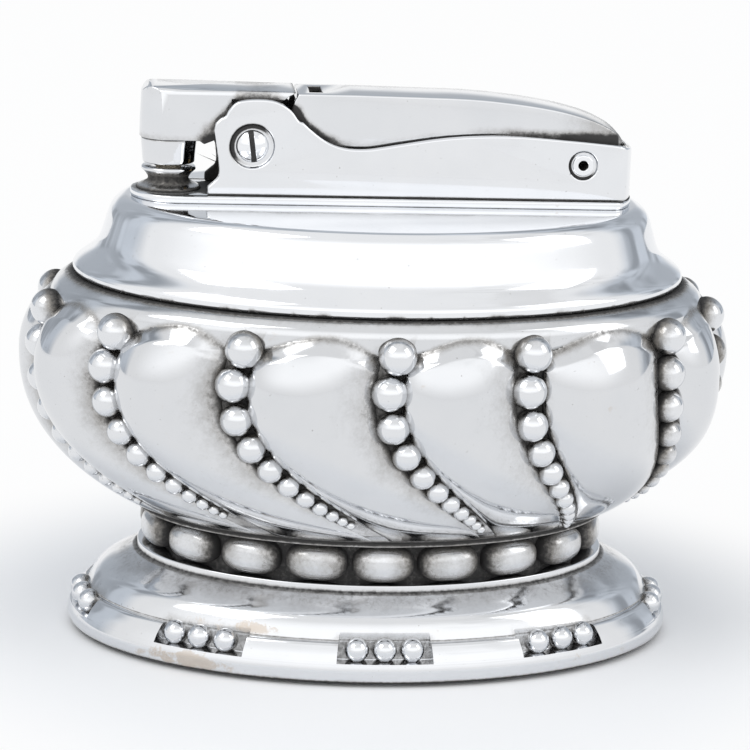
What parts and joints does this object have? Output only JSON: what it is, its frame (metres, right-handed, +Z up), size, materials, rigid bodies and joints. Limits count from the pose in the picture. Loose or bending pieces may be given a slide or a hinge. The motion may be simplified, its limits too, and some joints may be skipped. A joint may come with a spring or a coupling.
{
  "type": "table lighter",
  "caption": "Oval silver-plated table lighter: a spiral-lobed, beaded bowl on a waisted foot, with a lift-out unit whose thumb lever swings the snuffer and spins the flint wheel.",
  "frame": {"origin": "centre of the felt's underside, at the bottom centre of the whole object", "axes": "+X runs along the lighter towards the thumb lever's hinge, +Z is up, and -Y is the side with the slotted pivot screw"},
  "size_m": [0.0823, 0.0553, 0.0635],
  "materials": {
    "silver_plate": "polished silver plate with dark tarnish in its recesses",
    "steel": "plain machined steel",
    "spring_steel": "drawn spring steel",
    "hard_steel": "hardened and ground",
    "brass": "soldered sheet brass, dull",
    "felt": "black felt",
    "cotton": "loose cotton",
    "flint_stone": "rough grey flint metal",
    "fibre": "fibre washer"
  },
  "bodies": {
    "base": {"felt_pad": "felt", "base_plate": "steel", "foot": "silver_plate", "foot_balls": "silver_plate", "neck_strip": "silver_plate", "neck_beads": "silver_plate", "bowl": "silver_plate", "bowl_beads": "silver_plate", "clamp_bolt": "steel", "clamp_washer": "steel", "clamp_nut": "steel"},
    "unit": {"cover": "silver_plate", "deck_plate": "silver_plate", "deck_screws": "steel", "frame": "silver_plate", "pivot_sleeve": "silver_plate", "pivot_screw": "silver_plate", "hinge_rivet": "silver_plate", "return_spring": "spring_steel", "flint": "flint_stone", "flint_spring": "spring_steel", "flint_tube": "brass", "flint_screw": "brass", "wick_tube": "silver_plate", "wick": "cotton", "tank": "brass", "tank_packing": "cotton", "filler_screw": "brass", "filler_washer": "fibre"},
    "lever": {"thumb_lever": "silver_plate"},
    "snuffer": {"snuffer_arm": "silver_plate", "snuffer_cap": "silver_plate", "pawl": "spring_steel"},
    "wheel": {"striker_wheel": "hard_steel", "ratchet_wheel": "hard_steel"}
  },
  "joints": [
    {"name": "unit_lift", "type": "slide", "parent": "base", "child": "unit", "axis": [0, 0, 1], "range_m": [0, 0.018]},
    {"name": "thumb_press", "type": "hinge", "parent": "unit", "child": "lever", "pos_m": [0.02237, 0, 0.0557], "axis": [0, -1, 0], "range_deg": [0, 11], "stiffness_Nm_per_rad": 0.4, "springref_deg": -11.46, "deforming": ["return_spring"]},
    {"name": "snuffer_swing", "type": "hinge", "parent": "unit", "child": "snuffer", "pos_m": [-0.0151, 0, 0.05725], "axis": [0, 1, 0], "range_deg": [0, 48]},
    {"name": "wheel_spin", "type": "hinge", "parent": "unit", "child": "wheel", "pos_m": [-0.0151, 0, 0.05725], "axis": [0, 1, 0], "range_deg": [0, 48]}
  ],
  "couplings": [
    {"joint": "snuffer_swing", "follows": "thumb_press", "ratio": 4.3},
    {"joint": "wheel_spin", "follows": "thumb_press", "ratio": 4.3}
  ]
}
